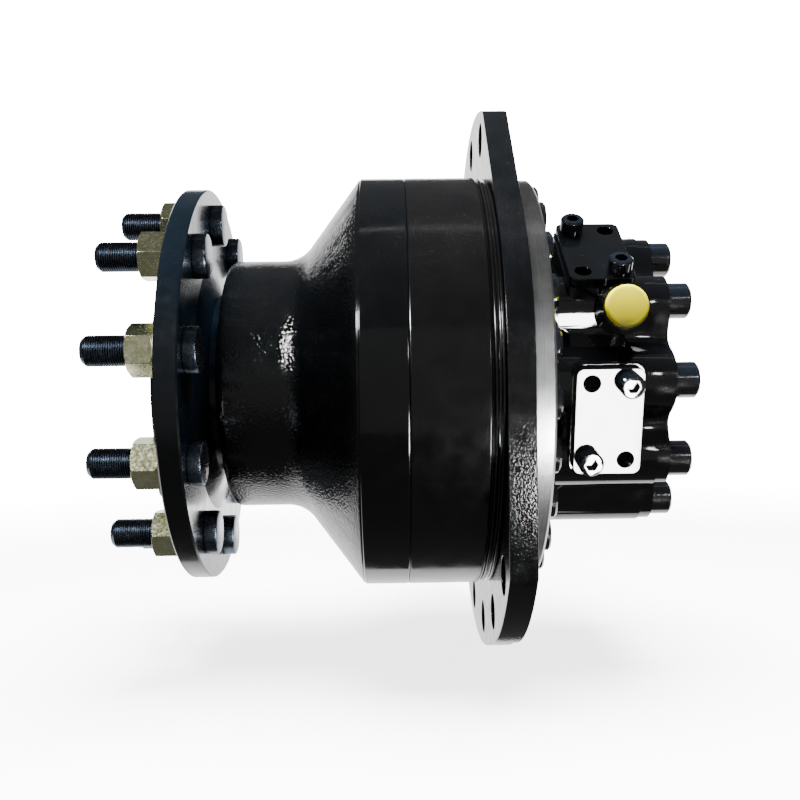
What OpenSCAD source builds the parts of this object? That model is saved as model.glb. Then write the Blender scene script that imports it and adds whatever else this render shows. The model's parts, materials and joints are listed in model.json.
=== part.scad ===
// Radial piston wheel motor: a wheel flange on a splined shaft, a cam ring around eight
// roller pistons, a mounting plate with its pilot ring, and a distributor cover with two ports.
// X runs along the shaft, the wheel flange toward -X. The origin lies on the shaft axis
// at the rear face of the mounting plate. Angles rise from the near side (-Y) toward +Z.

/* [Wheel flange] */
// width of the flange outside the stud circle
flange_lip = 25.75; // [22:0.25:40]
// thickness of the wheel flange
flange_t = 15; // [10:0.5:25]
// front face of the wheel flange, from the origin
flange_x = -230.5; // [-260:0.5:-200]
// diameter of the wheel pilot
pilot_d = 190; // [170:1:220]
// height of the wheel pilot
pilot_h = 13.5; // [5:0.5:20]
// depth of the band between the face's two lands, where the washers lie
wheel_relief = 0.5; // [0.3:0.1:1]
// distance of the stud circle from the pilot
stud_inset = 22; // [21:0.5:30]
// number of wheel studs
stud_count = 10; // [5:1:12]
// thread diameter of the wheel studs
stud_d = 20; // [16:1:24]
// stud end beyond the front face of the flange
stud_out = 50; // [40:1:70]
// diameter of the round stud heads
stud_head_d = 30; // [26:0.5:36]
// height of the round stud heads
stud_head_h = 9; // [6:0.5:14]
// angle of the first stud above the near side
stud_turn = 10.3; // [-36:0.1:36]
// width across flats of the wheel nuts
nut_af = 30; // [27:1:36]
// height of the wheel nuts
nut_h = 18; // [14:0.5:22]
// thickness of the washers under the nuts
washer_t = 3; // [2:0.5:5]
// outer diameter of the washers under the nuts
washer_d = 34; // [30:0.5:38]

/* [Bearing housing] */
// diameter of the machined rims of the body
body_d = 298.5; // [280:0.5:320]
// front edge of the machined rim, from the origin
body_x = -106.5; // [-120:0.5:-90]
// end face of the housing neck, from the origin
neck_x = -202; // [-215:0.5:-185]
// diameter of the cast neck
neck_d = 182; // [170:0.5:200]
// angle of the cast cone
cone_angle = 53; // [40:0.5:65]
// joint between the housing and the cam ring, from the origin
joint_x = -75.5; // [-85:0.5:-65]

/* [Bearings] */
// bore of the front bearing
front_bore = 110; // [95:1:115]
// outer diameter of the front bearing
front_od = 160; // [140:1:166]
// mid plane of the front bearing, from the origin
front_x = -169; // [-178:0.5:-160]
// bore of the rear bearing
rear_bore = 100; // [85:1:105]
// outer diameter of the rear bearing
rear_od = 150; // [135:1:160]
// mid plane of the rear bearing, from the origin
rear_x = -107; // [-115:0.5:-100]
// width of the bearing rings
ring_w = 32; // [26:1:38]
// number of rollers in a bearing
bearing_rollers = 20; // [12:1:24]
// diameter of a bearing roller at mid length
bearing_roller_d = 13; // [9:0.5:15]
// length of a bearing roller
bearing_roller_l = 20; // [14:0.5:24]
// angle of the bearing roller axes
bearing_angle = 14; // [8:0.5:18]

/* [Cam and pistons] */
// number of cam lobes
lobes = 6; // [4:2:8]
// least radius of the roller centre path
path_min = 81; // [76:0.5:86]
// stroke of the pistons
stroke = 14; // [8:0.5:16]
// number of pistons
piston_count = 8; // [8:1:8]
// diameter of the pistons
piston_d = 34; // [28:0.5:36]
// diameter of the cam rollers
roller_d = 22; // [18:0.5:24]
// length of the cam rollers
roller_l = 22; // [16:0.5:24]
// radius of the roller centres with the pistons drawn in
rest_r = 79.5; // [76:0.5:80]
// diameter of the cylinder block
block_d = 170; // [160:1:174]
// major diameter of the shaft spline
spline_d = 80; // [70:1:84]
// number of spline teeth
spline_teeth = 20; // [12:1:28]

/* [Mounting plate] */
// thickness of the mounting plate
plate_t = 17.5; // [12:0.5:25]
// radius of the lower near arc of the plate
plate_r = 192; // [180:1:210]
// radius of the far lobe of the plate
lobe_r = 207; // [190:1:220]
// distance of the chassis holes from the arcs of the plate
chassis_edge = 21; // [19:0.5:24]
// shift of the far lobe away from the near side
lobe_shift = 47; // [30:1:70]
// height of the far lobe's centre above the shaft axis
lobe_rise = 1.2; // [-5:0.1:5]
// turn of the far chassis holes about the lobe centre
lobe_turn = 3.1; // [-10:0.1:10]
// distance of the near flat from the shaft axis
flat_r = 149.9; // [149.5:0.1:160]
// normal of the upper near edge above the near side
edge_turn = 42; // [30:0.5:50]
// diameter of the chassis bolt holes
chassis_hole_d = 25; // [20:0.5:28]
// length of the grooved spacer ring ahead of the plate
spacer_w = 8.5; // [6:0.5:12]

/* [Pilot ring] */
// outer diameter of the bare pilot ring
pilot_ring_d = 294; // [280:0.5:298]
// length of the bare pilot ring
pilot_ring_w = 13; // [10:0.5:16]

/* [Screws] */
// thread diameter of the stack screws and cover screws
screw_d = 16; // [14:1:18]
// number of stack screws
stack_count = 24; // [16:1:28]
// pitch radius of the stack screws
stack_r = 132; // [126:0.5:134]
// angle of the first stack screw
stack_turn = -6; // [-15:0.5:15]
// length of the stack screws
stack_l = 100; // [90:1:104]
// number of cover screws
cover_count = 10; // [8:1:12]
// pitch radius of the cover screws
cover_screw_r = 90.5; // [86:0.5:96]
// angle of the first cover screw
cover_turn = -1.1; // [-18:0.1:18]
// length of the cover screws
cover_screw_l = 115; // [100:1:115]

/* [Distributor cover] */
// length of the distributor cover
cover_l = 85.5; // [70:0.5:100]
// radius of the cast core between the columns
core_r = 89; // [82:0.5:95]
// radius of the screw columns
column_r = 15.5; // [13:0.5:18]
// thickness of the scalloped end collar
collar_w = 8.5; // [5:0.5:15]
// distance of the port pad faces from the shaft axis
pad_h = 107; // [105:0.5:110]
// angle of the lower port
port_low = -14.5; // [-25:0.5:0]
// angle of the upper port
port_high = 50; // [40:0.5:60]
// centre of the ports along the shaft
port_x = 52.3; // [45:0.1:60]
// bore of the ports
port_bore = 19; // [16:0.5:22]
// long spacing of the port screws
port_long = 50.8; // [40:0.1:60]
// short spacing of the port screws
port_short = 23.8; // [17:0.1:30]
// thickness of the port blanking plates
cap_plate_t = 6.5; // [5:0.5:12]
// width of the port blanking plates along the shaft
cap_plate_w = 43.5; // [40:0.5:50]
// height of the port blanking plates
cap_plate_l = 70; // [64:0.5:76]
// thread diameter of the port screws
port_screw_d = 10; // [8:1:12]
// diameter of the plastic drain cap
drain_cap_d = 27.7; // [24:0.1:32]
// place of the drain port along the shaft
drain_x = 64.5; // [60:0.5:72]
// height of the drain port above the shaft axis
drain_z = 45.5; // [40:0.5:50]
// face of the drain boss from the shaft axis
drain_y = 109; // [104:0.5:114]

/* [Distributor] */
// diameter of the distributor body
dist_d = 132; // [120:1:136]
// diameter of the distributor front flange
dist_flange_d = 152; // [140:1:153]
// rear end of the distributor, from the origin
dist_end = 66; // [60:0.5:70]

/* [Fits] */
// radial running clearance of the shaft, pistons and rollers
run_gap = 0.05; // [0.02:0.01:0.1]
// running clearance of the bearing rollers
roller_gap = 0.06; // [0.02:0.01:0.1]
// clearance of bolts in their through holes
bolt_gap = 0.5; // [0.2:0.1:1]
// root of the nuts' thread outside the nominal stud radius
nut_root = 0.05; // [0.02:0.01:0.1]
// crest of the studs' free thread inside the nominal radius
crest_fall = 0.13; // [0.1:0.01:0.2]
// clearance of parts that slip into bores
slip_gap = 0.1; // [0.05:0.05:0.3]

/* [Hidden] */
$fn = 96;
eps = 0.01;
flange_back = flange_x + flange_t;
stud_circle = pilot_d / 2 + stud_inset;
flange_d = 2 * (stud_circle + flange_lip);
shank_r = stud_d / 2 + nut_root;
crest_r = stud_d / 2 - crest_fall;
washer_x = flange_x + wheel_relief;
nut_x = washer_x - washer_t - nut_h;
band_in = stud_circle - washer_d / 2 - 0.6;
band_out = stud_circle + washer_d / 2 + 0.6;
hub_end = flange_back + 5;
seal_r = 60;
seal_w = 12;
housing_seat_r = front_od / 2;
shaft_end = -24;
block_front = -71;
block_back = -30;
piston_x = (block_front + block_back) / 2;
plate_x = -plate_t;
spacer_x = plate_x - spacer_w;
cam_x1 = spacer_x;
cover_x = pilot_ring_w;
cover_end = cover_x + cover_l;
roller_r = roller_d / 2;
path_mid = path_min + stroke / 2;
path_amp = stroke / 2;
cam_turn = 7.5;
piston_foot = 53;
bore_foot = 50;
piston_top = rest_r + 3.5;
crown_r = 12.8;
oil_r = 56;
pin_r = 54;
pin_d = 8;
pin_turn = 97.5;
spline_space = 6;
spline_depth = 3;
gallery_1 = [36, 46];
gallery_2 = [50, 60];
dist_face = block_back + 0.1;
dist_bore = 90;
bearing_r_front = 67.5;
bearing_r_rear = 62.5;
column_flank = 1.5;
drain_tilt = 31.6;
drain_lean = 3;
chassis_r = lobe_r - chassis_edge;
near_chassis_r = plate_r - chassis_edge;
foot_relief = 1;
head_d = 1.5 * screw_d;
head_h = screw_d;
washer_stack_t = 1.6;
port_head_d = 1.6 * port_screw_d;
hug_gap = 1.25;
far_holes = 10;
far_step = 23;
near_hole_turns = [-71.4, -46.6];
nut_turns = [30, 3, 10, 14, 22, -8, 5, 17, 0, -12.7];
oring_big_r = 115;
oring_small_r = 76;
oring_cord = 3;
oring_squash = 2.6;

// 2D point for the plane across the shaft, used under across()
function flat(y, z) = [-z, y];
function polar(r, a) = flat(-r * cos(a), r * sin(a));

// path of the roller centres around the cam
function path_r(t) = path_mid - path_amp * cos(lobes * t);
function path_slope(t) = path_amp * lobes * sin(lobes * t);
function cam_point(t, off) = let (
        p = path_r(t),
        s = path_slope(t),
        n = sqrt(p * p + s * s),
        er = polar(1, t + cam_turn),
        et = polar(1, t + cam_turn + 90))
    er * (p + off * p / n) - et * (off * s / n);

// travel of one piston from its drawn in place to the cam
function piston_travel(i) = path_r((i - 1) * 360 / piston_count - cam_turn) - rest_r;

// solid bar along the shaft
module rod(x0, x1, r) {
    translate([x0, 0, 0])
        rotate([0, 90, 0])
            cylinder(h = x1 - x0, r = r);
}

// turned shape from points given as radius and station
module turned(points) {
    rotate([0, 90, 0])
        rotate_extrude()
            polygon(points);
}

// flat shape across the shaft, extruded along it
module across(x0, x1) {
    translate([x0, 0, 0])
        rotate([0, 90, 0])
            linear_extrude(x1 - x0)
                children();
}

// copies around the shaft axis
module around(count, radius, first) {
    for (i = [0:count - 1])
        rotate([-(first + i * 360 / count), 0, 0])
            translate([0, -radius, 0])
                children();
}

// local z points outward from the shaft, local x along it, local y upward
module radial(a, x) {
    translate([x, 0, 0])
        rotate([-a, 0, 0])
            rotate([90, 0, 0])
                children();
}

module rounded(w, l, r) {
    square([w - 2 * r, l], center = true);
    square([w, l - 2 * r], center = true);
    for (sx = [-1, 1], sy = [-1, 1])
        translate([sx * (w / 2 - r), sy * (l / 2 - r)])
            circle(r);
}

// socket head screw along x, seated at x = 0 with its head toward +x
module socket_screw(d, l, hd, hh, chamfer) {
    difference() {
        union() {
            turned([[0, 0], [hd / 2, 0], [hd / 2, hh - chamfer], [hd / 2 - chamfer, hh], [0, hh]]);
            turned([[0, -l], [d / 2 - 1, -l], [d / 2, 1 - l], [d / 2, 0.1], [0, 0.1]]);
        }
        translate([hh * 0.45, 0, 0])
            rotate([0, 90, 0])
                cylinder(h = hh, r = d * 0.437, $fn = 6);
    }
}

module ring_gasket(r, x0, w) {
    rotate([0, 90, 0])
        rotate_extrude()
            translate([r, x0 + w / 2])
                circle(w / 2);
}

// groove for a ring gasket, open toward the joint face
module ring_groove(r, x0, x1, cord) {
    turned([[r - cord / 2 - 0.3, x0], [r + cord / 2 + 0.3, x0], [r + cord / 2 + 0.3, x1],
        [r - cord / 2 - 0.3, x1]]);
}

// wheel side

module spline_cut(grow) {
    for (i = [0:spline_teeth - 1])
        rotate([i * 360 / spline_teeth, 0, 0])
            translate([0, spline_d / 2 - spline_depth - grow, -spline_space / 2 - grow])
                children();
}

module output_shaft() {
    color([0.05, 0.05, 0.06])
    difference() {
        turned([[0, flange_x - pilot_h], [pilot_d / 2 - 1.5, flange_x - pilot_h],
            [pilot_d / 2, flange_x - pilot_h + 1.5], [pilot_d / 2, flange_x],
            [band_in, flange_x], [band_in, washer_x], [band_out, washer_x], [band_out, flange_x],
            [flange_d / 2 - 1, flange_x], [flange_d / 2, flange_x + 1],
            [flange_d / 2, flange_back - 1], [flange_d / 2 - 1, flange_back],
            [stud_circle - 24, flange_back], [67, hub_end], [67, hub_end + 4], [seal_r, hub_end + 7],
            [seal_r, front_x - ring_w / 2 - 4], [front_bore / 2 + 4, front_x - ring_w / 2],
            [front_bore / 2, front_x - ring_w / 2],
            [front_bore / 2, front_x + ring_w / 2 + 2],
            [rear_bore / 2 + 2, front_x + ring_w / 2 + 6],
            [rear_bore / 2 + 2, rear_x - ring_w / 2 - 3],
            [rear_bore / 2, rear_x - ring_w / 2 - 3],
            [rear_bore / 2, rear_x + ring_w / 2 - 0.5], [rear_bore / 2 - 2.5, rear_x + ring_w / 2],
            [rear_bore / 2 - 2.5, block_front], [spline_d / 2, block_front],
            [spline_d / 2, shaft_end - 1], [spline_d / 2 - 1, shaft_end], [0, shaft_end]]);
        // front recess, stud holes and centre drilling
        turned([[0, flange_x - pilot_h - 1], [62, flange_x - pilot_h - 1], [58, flange_x + 6],
            [24, flange_x + 6], [20, flange_x + 12], [0, flange_x + 12]]);
        rod(flange_x, flange_x + 40, 8);
        around(stud_count, stud_circle, stud_turn)
            rod(flange_x - 1, flange_back + 1, shank_r);
        // spline spaces, retaining ring groove and nut thread relief
        spline_cut(0)
            translate([block_front - 1, 0, 0])
                cube([shaft_end - block_front + 2, 5, spline_space]);
        difference() {
            rod(block_back + 0.2, block_back + 2.8, spline_d / 2 + 1);
            rod(block_back, block_back + 3, spline_d / 2 - 4.2);
        }
        rod(shaft_end - 14, shaft_end + 1, 7);
    }
}

module wheel_studs() {
    color([0.1, 0.1, 0.11])
    around(stud_count, stud_circle, stud_turn)
        turned([[0, flange_x - stud_out], [crest_r - 2.5, flange_x - stud_out],
            [crest_r, flange_x - stud_out + 3], [crest_r, nut_x], [shank_r, nut_x],
            [shank_r, flange_back], [stud_head_d / 2, flange_back],
            [stud_head_d / 2, flange_back + stud_head_h - 1.2],
            [stud_head_d / 2 - 1.2, flange_back + stud_head_h], [0, flange_back + stud_head_h]]);
}

module wheel_nuts() {
    color([0.75, 0.7, 0.45])
    for (i = [0:stud_count - 1])
        rotate([-(stud_turn + i * 360 / stud_count), 0, 0])
            translate([nut_x, -stud_circle, 0])
                rotate([stud_turn + i * 360 / stud_count - nut_turns[i], 0, 0])
                    difference() {
                        intersection() {
                            rotate([0, 90, 0])
                                rotate([0, 0, 30])
                                    cylinder(h = nut_h, r = nut_af / sqrt(3), $fn = 6);
                            turned([[0, 0], [nut_af / 2 - 0.6, 0], [nut_af / sqrt(3) + 0.2, 1.7],
                                [nut_af / sqrt(3) + 0.2, nut_h - 1.7], [nut_af / 2 - 0.6, nut_h], [0, nut_h]]);
                        }
                        rod(-1, nut_h + 1, shank_r);
                    }
}

module wheel_washers() {
    color([0.8, 0.78, 0.6])
    around(stud_count, stud_circle, stud_turn)
        difference() {
            rod(washer_x - washer_t, washer_x, washer_d / 2);
            rod(washer_x - washer_t - 1, washer_x + 1, stud_d / 2 + bolt_gap);
        }
}

module shaft_seal() {
    color([0.12, 0.12, 0.12])
    turned([[housing_seat_r - 4, neck_x + 0.5], [seal_r + 5, neck_x + 0.5], [seal_r + run_gap, neck_x + 4],
        [seal_r + run_gap, neck_x + 6], [seal_r + 6, neck_x + 10], [seal_r + 6, neck_x + seal_w],
        [housing_seat_r - 4, neck_x + seal_w]]);
}

// tapered bearings: the race lines and the rollers share one apex on the shaft axis
function race_half(rm) = atan(bearing_roller_d / 2 / (rm / sin(bearing_angle)));
function race_r(rm, s, side) =
    (rm / tan(bearing_angle) + s) * tan(bearing_angle + side * race_half(rm));

// s grows toward the wide end of the bearing, dir = -1 points that end to -x
module bearing_frame(x, dir) {
    translate([x, 0, 0])
        mirror([dir < 0 ? 1 : 0, 0, 0])
            children();
}

module bearing_cone(rm, bore) {
    h = ring_w / 2;
    e = bearing_roller_l / 2 + 2.4;
    turned([[bore / 2, -h], [race_r(rm, -e, -1) + 1.5, -h], [race_r(rm, -e, -1) + 1.5, -e],
        [race_r(rm, -e, -1), -e], [race_r(rm, e, -1), e],
        [race_r(rm, e, -1) + 2.2, e], [race_r(rm, e, -1) + 2.2, h], [bore / 2, h]]);
}

module bearing_cup(rm, od) {
    h = ring_w / 2;
    turned([[od / 2, -h], [od / 2, h - 2], [race_r(rm, h - 2, 1), h - 2], [race_r(rm, -h, 1), -h]]);
}

module bearing_cage(rm) {
    lm = rm / sin(bearing_angle);
    tr = tan(race_half(rm));
    l = bearing_roller_l / 2;
    for (i = [0:bearing_rollers - 1])
        rotate([i * 360 / bearing_rollers, 0, 0])
            translate([-rm / tan(bearing_angle), 0, 0])
                rotate([0, 0, bearing_angle])
                    rotate([0, 90, 0])
                        translate([0, 0, lm - l])
                            cylinder(h = 2 * l, r1 = (lm - l) * tr - roller_gap, r2 = (lm + l) * tr - roller_gap);
    // pressed cage through the roller middles
    turned([for (q = [[-l - 2, 1], [l + 2, 1], [l + 2, -1], [-l - 2, -1]])
        [(rm / tan(bearing_angle) + q[0]) * tan(bearing_angle) + q[1] * 1.1, q[0]]]);
}

module front_cone() {
    color([0.7, 0.7, 0.72])
    bearing_frame(front_x, -1)
        bearing_cone(bearing_r_front, front_bore);
}

module front_rollers() {
    color([0.75, 0.75, 0.77])
    bearing_frame(front_x, -1)
        bearing_cage(bearing_r_front);
}

module front_cup() {
    color([0.7, 0.7, 0.72])
    bearing_frame(front_x, -1)
        bearing_cup(bearing_r_front, front_od);
}

module rear_cone() {
    color([0.7, 0.7, 0.72])
    bearing_frame(rear_x, 1)
        bearing_cone(bearing_r_rear, rear_bore);
}

module rear_rollers() {
    color([0.75, 0.75, 0.77])
    bearing_frame(rear_x, 1)
        bearing_cage(bearing_r_rear);
}

module rear_cup() {
    color([0.7, 0.7, 0.72])
    bearing_frame(rear_x, 1)
        bearing_cup(bearing_r_rear, rear_od);
}

module lock_washer() {
    color([0.5, 0.5, 0.52])
    difference() {
        rod(rear_x + ring_w / 2, rear_x + ring_w / 2 + 2, rear_bore / 2 + 8);
        rod(rear_x + ring_w / 2 - 1, rear_x + ring_w / 2 + 3, rear_bore / 2 - 2.5);
        around(12, rear_bore / 2 + 8, 15)
            translate([rear_x + ring_w / 2 - 1, -2, -4])
                cube([4, 4, 8]);
    }
}

module bearing_nut() {
    seat_x = rear_x + ring_w / 2 + 2;
    nut_r = rear_bore / 2 + 12;
    color([0.3, 0.3, 0.32])
    difference() {
        rod(seat_x, seat_x + 12, nut_r);
        rod(seat_x - 1, seat_x + 13, rear_bore / 2 - 2.5);
        around(4, nut_r, 0)
            translate([seat_x - 1, -4, -5])
                cube([14, 8, 10]);
    }
}

// cylinder block with its pistons

module cylinder_block() {
    color([0.35, 0.35, 0.37])
    difference() {
        union() {
            turned([[spline_d / 2 + slip_gap, block_front], [block_d / 2 - 2, block_front],
                [block_d / 2, block_front + 2], [block_d / 2, block_back - 2],
                [block_d / 2 - 2, block_back], [spline_d / 2 + slip_gap, block_back]]);
            // keys that fill the spline spaces of the shaft
            spline_cut(-slip_gap)
                translate([block_front + 0.5, 0, 0])
                    cube([block_back - block_front - 1, 4, spline_space - 2 * slip_gap]);
        }
        for (i = [1:piston_count])
            radial((i - 1) * 360 / piston_count, piston_x) {
                translate([0, 0, bore_foot])
                    cylinder(h = block_d / 2 - bore_foot + 1, r = piston_d / 2 + run_gap);
                // oil port from the foot of the bore to the distributor face
                translate([0, 0, oil_r])
                    rotate([0, 90, 0])
                        cylinder(h = block_back - piston_x + 1, r = 4);
            }
        // thinned outer edge on both faces
        for (x = [block_front - eps, block_back - 3])
            difference() {
                rod(x, x + 3 + eps, 60);
                rod(x - 1, x + 5, 46);
                around(piston_count, oil_r, 0)
                    rod(x - 1, x + 5, 8);
            }
    }
}

module block_ring() {
    color([0.6, 0.6, 0.62])
    difference() {
        rod(block_back + 0.2, block_back + 2.7, spline_d / 2 + 2.6);
        rod(block_back - 1, block_back + 4, spline_d / 2 - 4);
        // open gap of the ring
        translate([block_back - 1, spline_d / 2 - 10, -5])
            cube([5, 20, 10]);
    }
}

module piston(i) {
    radial((i - 1) * 360 / piston_count, piston_x)
        difference() {
            rotate_extrude()
                polygon([[0, piston_foot], [piston_d / 2 - 1, piston_foot], [piston_d / 2, piston_foot + 1],
                    [piston_d / 2, piston_foot + 5], [piston_d / 2 - 2.2, piston_foot + 5],
                    [piston_d / 2 - 2.2, piston_foot + 8], [piston_d / 2, piston_foot + 8],
                    [piston_d / 2, rest_r - 2.5], [crown_r, piston_top], [0, piston_top]]);
            // cradle of the roller
            translate([-roller_l / 2 - slip_gap, 0, rest_r])
                rotate([0, 90, 0])
                    cylinder(h = roller_l + 2 * slip_gap, r = roller_r + run_gap);
            // oil feed to the cradle
            translate([0, 0, piston_foot - 1])
                cylinder(h = 20, r = 1.2);
        }
}

module piston_ring(i) {
    radial((i - 1) * 360 / piston_count, piston_x)
        translate([0, 0, piston_foot + 5])
            difference() {
                cylinder(h = 3, r = piston_d / 2 + run_gap / 2);
                translate([0, 0, -1])
                    cylinder(h = 5, r = piston_d / 2 - 2.2);
            }
}

module cam_roller(i) {
    radial((i - 1) * 360 / piston_count, piston_x)
        translate([0, 0, rest_r])
            rotate([0, 90, 0])
                rotate_extrude()
                    polygon([[0, -roller_l / 2], [roller_r - 0.6, -roller_l / 2],
                        [roller_r, 0.6 - roller_l / 2], [roller_r, roller_l / 2 - 0.6],
                        [roller_r - 0.6, roller_l / 2], [0, roller_l / 2]]);
}

module piston_1() {
    color([0.6, 0.6, 0.62])
    piston(1);
}

module piston_2() {
    color([0.6, 0.6, 0.62])
    piston(2);
}

module piston_3() {
    color([0.6, 0.6, 0.62])
    piston(3);
}

module piston_4() {
    color([0.6, 0.6, 0.62])
    piston(4);
}

module piston_5() {
    color([0.6, 0.6, 0.62])
    piston(5);
}

module piston_6() {
    color([0.6, 0.6, 0.62])
    piston(6);
}

module piston_7() {
    color([0.6, 0.6, 0.62])
    piston(7);
}

module piston_8() {
    color([0.6, 0.6, 0.62])
    piston(8);
}

module piston_ring_1() {
    color([0.2, 0.2, 0.2])
    piston_ring(1);
}

module piston_ring_2() {
    color([0.2, 0.2, 0.2])
    piston_ring(2);
}

module piston_ring_3() {
    color([0.2, 0.2, 0.2])
    piston_ring(3);
}

module piston_ring_4() {
    color([0.2, 0.2, 0.2])
    piston_ring(4);
}

module piston_ring_5() {
    color([0.2, 0.2, 0.2])
    piston_ring(5);
}

module piston_ring_6() {
    color([0.2, 0.2, 0.2])
    piston_ring(6);
}

module piston_ring_7() {
    color([0.2, 0.2, 0.2])
    piston_ring(7);
}

module piston_ring_8() {
    color([0.2, 0.2, 0.2])
    piston_ring(8);
}

module roller_1() {
    color([0.8, 0.8, 0.82])
    cam_roller(1);
}

module roller_2() {
    color([0.8, 0.8, 0.82])
    cam_roller(2);
}

module roller_3() {
    color([0.8, 0.8, 0.82])
    cam_roller(3);
}

module roller_4() {
    color([0.8, 0.8, 0.82])
    cam_roller(4);
}

module roller_5() {
    color([0.8, 0.8, 0.82])
    cam_roller(5);
}

module roller_6() {
    color([0.8, 0.8, 0.82])
    cam_roller(6);
}

module roller_7() {
    color([0.8, 0.8, 0.82])
    cam_roller(7);
}

module roller_8() {
    color([0.8, 0.8, 0.82])
    cam_roller(8);
}

// body stack

module bearing_housing() {
    fillet = 26;
    t = fillet * tan(cone_angle / 2);
    rim_r = body_d / 2;
    corner = body_x - 1 - (rim_r - 1 - neck_d / 2) / tan(cone_angle);
    arc = [for (i = [0:12])
        [neck_d / 2 + fillet * (1 - cos(i * cone_angle / 12)), corner - t + fillet * sin(i * cone_angle / 12)]];
    color([0.04, 0.04, 0.045])
    difference() {
        turned(concat(
            [[housing_seat_r - 4, neck_x], [neck_d / 2 - 5, neck_x],
                [neck_d / 2 - 3.5, neck_x + 0.4], [neck_d / 2 - 1.5, neck_x + 1.6],
                [neck_d / 2 - 0.4, neck_x + 3.4], [neck_d / 2, neck_x + 5.5]],
            arc,
            [[rim_r - 1, body_x - 1], [rim_r - 1, body_x], [rim_r, body_x + 0.6], [rim_r, joint_x - 0.6],
                [rim_r - 0.6, joint_x], [82, joint_x], [82, rear_x + ring_w / 2],
                [rear_od / 2, rear_x + ring_w / 2], [rear_od / 2, rear_x - ring_w / 2],
                [rear_od / 2 - 5, rear_x - ring_w / 2], [rear_od / 2 - 5, rear_x - ring_w / 2 - 4],
                [rear_od / 2, rear_x - ring_w / 2 - 8], [rear_od / 2, front_x + ring_w / 2 + 8],
                [front_od / 2 - 6, front_x + ring_w / 2 + 4], [front_od / 2 - 6, front_x + ring_w / 2],
                [front_od / 2, front_x + ring_w / 2], [front_od / 2, neck_x + seal_w + 4],
                [housing_seat_r - 4, neck_x + seal_w]]));
        // blind threads of the stack screws
        around(stack_count, stack_r, stack_turn)
            rod(washer_stack_t - stack_l - 2.5, joint_x + 1, screw_d / 2);
        ring_groove(oring_big_r, joint_x - oring_squash, joint_x + 1, oring_cord);
    }
}

module cam_profile() {
    polygon([for (i = [0:lobes * 48 - 1]) cam_point(i * 360 / (lobes * 48), roller_r + run_gap)]);
}

module stack_holes(x0, x1) {
    around(stack_count, stack_r, stack_turn)
        rod(x0 - 1, x1 + 1, screw_d / 2 + bolt_gap);
}

module cam_ring() {
    rim_r = body_d / 2;
    color([0.06, 0.06, 0.065])
    difference() {
        turned([[60, joint_x], [rim_r - 0.6, joint_x], [rim_r, joint_x + 0.6],
            [rim_r, cam_x1 - 0.8], [rim_r - 0.8, cam_x1], [60, cam_x1]]);
        across(joint_x - 1, cam_x1 + 1)
            cam_profile();
        stack_holes(joint_x, cam_x1);
        ring_groove(oring_big_r, cam_x1 - oring_squash, cam_x1 + 1, oring_cord);
    }
}

module spacer_ring() {
    rim_r = body_d / 2;
    inner = dist_flange_d / 2 + slip_gap * 5;
    color([0.05, 0.05, 0.055])
    difference() {
        turned([[inner, spacer_x], [rim_r - 2.5, spacer_x], [rim_r - 2.5, spacer_x + 1.2],
            [rim_r - 0.5, spacer_x + 1.7], [rim_r - 0.5, spacer_x + 3.2], [rim_r - 2.5, spacer_x + 3.9],
            [rim_r - 2.5, spacer_x + 5.6], [rim_r - 0.7, spacer_x + 6.2], [rim_r - 0.7, spacer_x + 7.6],
            [rim_r - 2, plate_x], [inner, plate_x]]);
        stack_holes(spacer_x, plate_x);
        ring_groove(oring_big_r, plate_x - oring_squash, plate_x + 1, oring_cord);
    }
}

module plate_outline() {
    difference() {
        union() {
            circle(plate_r);
            translate(flat(lobe_shift, lobe_rise))
                circle(lobe_r);
        }
        // near flat
        translate([-300, -flat_r - 200])
            square([600, 200]);
        // straight upper near edge
        rotate([0, 0, -edge_turn])
            translate([-300, -flat_r - 200])
                square([320, 200]);
        // corner between both, hugging the body rim
        difference() {
            polygon([[0, 0], polar(400, 0), polar(400, edge_turn)]);
            circle(body_d / 2 + hug_gap);
        }
    }
}

module chassis_holes() {
    translate(flat(lobe_shift, lobe_rise))
        for (i = [0:far_holes - 1])
            rotate([0, 0, lobe_turn + (i - (far_holes - 1) / 2) * far_step])
                translate([0, chassis_r])
                    circle(chassis_hole_d / 2);
    for (a = near_hole_turns)
        translate(polar(near_chassis_r, a))
            circle(chassis_hole_d / 2);
}

module mounting_plate() {
    color([0.05, 0.05, 0.05])
    difference() {
        across(plate_x, 0)
            difference() {
                plate_outline();
                circle(dist_d / 2 + 4);
                chassis_holes();
            }
        stack_holes(plate_x, 0);
        around(cover_count, cover_screw_r, cover_turn)
            rod(plate_x - 1, 1, screw_d / 2);
        ring_groove(oring_small_r, -oring_squash, 1, oring_cord);
        // relief at the foot of the pilot ring, for the corner of a bracket
        turned([[pilot_ring_d / 2 - 1.5, -foot_relief], [pilot_ring_d / 2 + 1.5, -foot_relief],
            [pilot_ring_d / 2 + 1.5, 1], [pilot_ring_d / 2 - 1.5, 1]]);
    }
}

module pilot_ring() {
    r = pilot_ring_d / 2;
    color([0.75, 0.75, 0.76])
    difference() {
        turned([[dist_d / 2 + 4, 0], [r, 0], [r, pilot_ring_w - 1.5],
            [r - 1.5, pilot_ring_w], [dist_d / 2 + 4, pilot_ring_w]]);
        around(stack_count, stack_r, stack_turn)
            rod(-1, pilot_ring_w + 1, head_d / 2 + 0.6);
        around(cover_count, cover_screw_r, cover_turn)
            rod(-1, pilot_ring_w + 1, screw_d / 2 + bolt_gap);
        ring_groove(oring_small_r, pilot_ring_w - oring_squash, pilot_ring_w + 1, oring_cord);
    }
}

// distributor side

module port_pad(a) {
    radial(a, port_x)
        translate([0, 0, dist_d / 2 + 6])
            linear_extrude(pad_h - dist_d / 2 - 6)
                rounded(cap_plate_w + 2.5, cap_plate_l + 3, 7);
}

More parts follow.
